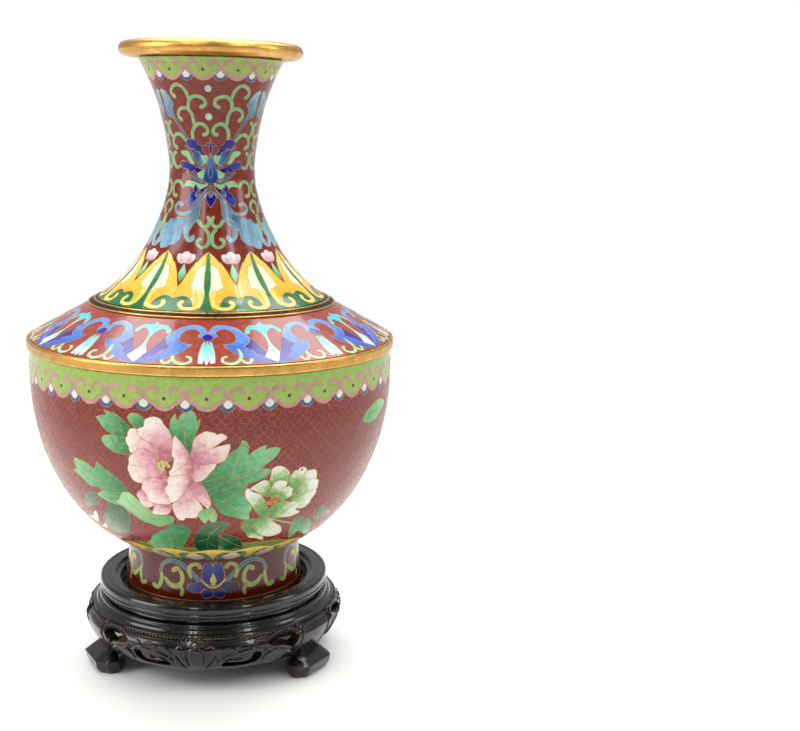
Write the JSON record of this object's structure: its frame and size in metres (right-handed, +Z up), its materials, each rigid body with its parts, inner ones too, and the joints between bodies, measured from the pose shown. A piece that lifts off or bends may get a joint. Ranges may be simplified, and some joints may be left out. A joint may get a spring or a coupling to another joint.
{
  "type": "cloisonne vase on a carved stand",
  "caption": "Cloisonne enamel vase with a flared neck, gilt rings and a footed round body, standing in a carved blackwood stand.",
  "frame": {"origin": "centre of the footprint, on the surface that the stand's three feet rest on", "axes": "+Z up along the axis of stand and vase, -Y is the front, where the middle of a front apron and the large blossom face"},
  "size_m": [0.166, 0.166, 0.2824],
  "materials": {
    "gilt_metal": "gilded, hand polished",
    "copper_body": "bare spun copper",
    "picture_enamel": "ground and polished enamel with fine wires",
    "plain_enamel": "fired enamel",
    "black_wood": "dark lacquered hardwood"
  },
  "bodies": {
    "stand": {"stand_top_ring": "black_wood", "seat_panel": "black_wood", "waist_ring": "black_wood", "apron_1": "black_wood", "apron_2": "black_wood", "apron_3": "black_wood", "leg_1": "black_wood", "leg_2": "black_wood", "leg_3": "black_wood"},
    "vase": {"foot_ring": "gilt_metal", "foot_core": "copper_body", "foot_enamel": "picture_enamel", "base_enamel": "plain_enamel", "bowl_core": "copper_body", "bowl_enamel": "picture_enamel", "shoulder_ring": "gilt_metal", "shoulder_core": "copper_body", "shoulder_enamel": "picture_enamel", "neck_joint_ring": "gilt_metal", "neck_core": "copper_body", "neck_enamel": "picture_enamel", "rim_ring": "gilt_metal", "lining": "plain_enamel"}
  },
  "joints": [
    {"name": "vase_lift", "type": "slide", "parent": "stand", "child": "vase", "axis": [0, 0, 1], "range_m": [0, 0.04]}
  ]
}
